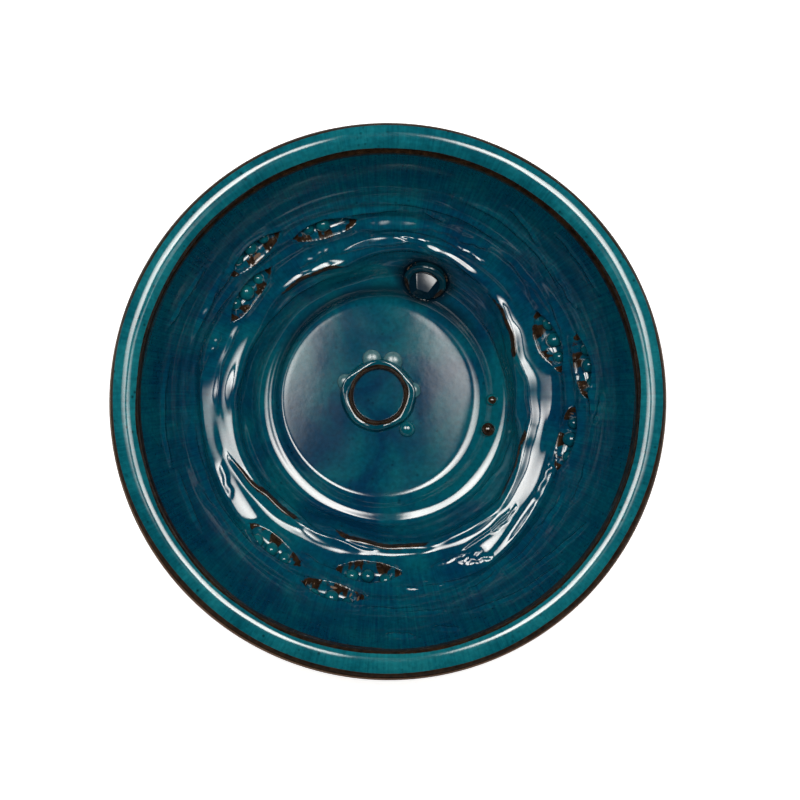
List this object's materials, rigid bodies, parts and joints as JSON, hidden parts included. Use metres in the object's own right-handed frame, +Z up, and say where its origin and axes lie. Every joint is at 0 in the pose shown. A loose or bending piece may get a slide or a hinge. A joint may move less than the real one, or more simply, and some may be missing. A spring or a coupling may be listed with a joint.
{
  "type": "bird bath bowl",
  "caption": "Round glazed stoneware bird bath bowl with a rolled rim, a stepped well, pellet-filled pockets, a raised floor ring and an inclined drain closed by a lift-out stopper.",
  "frame": {"origin": "centre of the foot ring's underside, on the ground", "axes": "+Z up, +X to the right and +Y to the back of the bowl, with the drain 72 degrees from +X towards +Y"},
  "size_m": [0.3, 0.2998, 0.11],
  "materials": {
    "stoneware": "matte brown fired clay",
    "inner_glaze": "glossy deep teal, mottled blue",
    "rim_glaze": "glossy teal with dark specks",
    "pellet_glaze": "glossy teal, broken to brown on the edges",
    "ring_glaze": "glossy teal, broken to brown on the crest",
    "knob_glaze": "glossy dark navy",
    "plug_rubber": "matte"
  },
  "bodies": {
    "bowl": {"bowl_body": "stoneware", "inner_glaze": "inner_glaze", "rim_glaze": "rim_glaze", "centre_ring": "ring_glaze", "ring_pellets": "pellet_glaze", "floor_pellets": "pellet_glaze", "pellets_a_high": "pellet_glaze", "pellets_a_mid": "pellet_glaze", "pellets_a_low": "pellet_glaze", "pellets_b_high": "pellet_glaze", "pellets_b_mid": "pellet_glaze", "pellets_b_low": "pellet_glaze", "pellets_c_high": "pellet_glaze", "pellets_c_mid": "pellet_glaze", "pellets_c_low": "pellet_glaze", "drain_tube": "ring_glaze"},
    "stopper": {"stopper_knob": "knob_glaze", "stopper_plug": "plug_rubber"}
  },
  "joints": [
    {"name": "stopper_pull", "type": "slide", "parent": "bowl", "child": "stopper", "axis": [-0.2185, -0.6725, 0.7071], "range_m": [0, 0.06]}
  ]
}
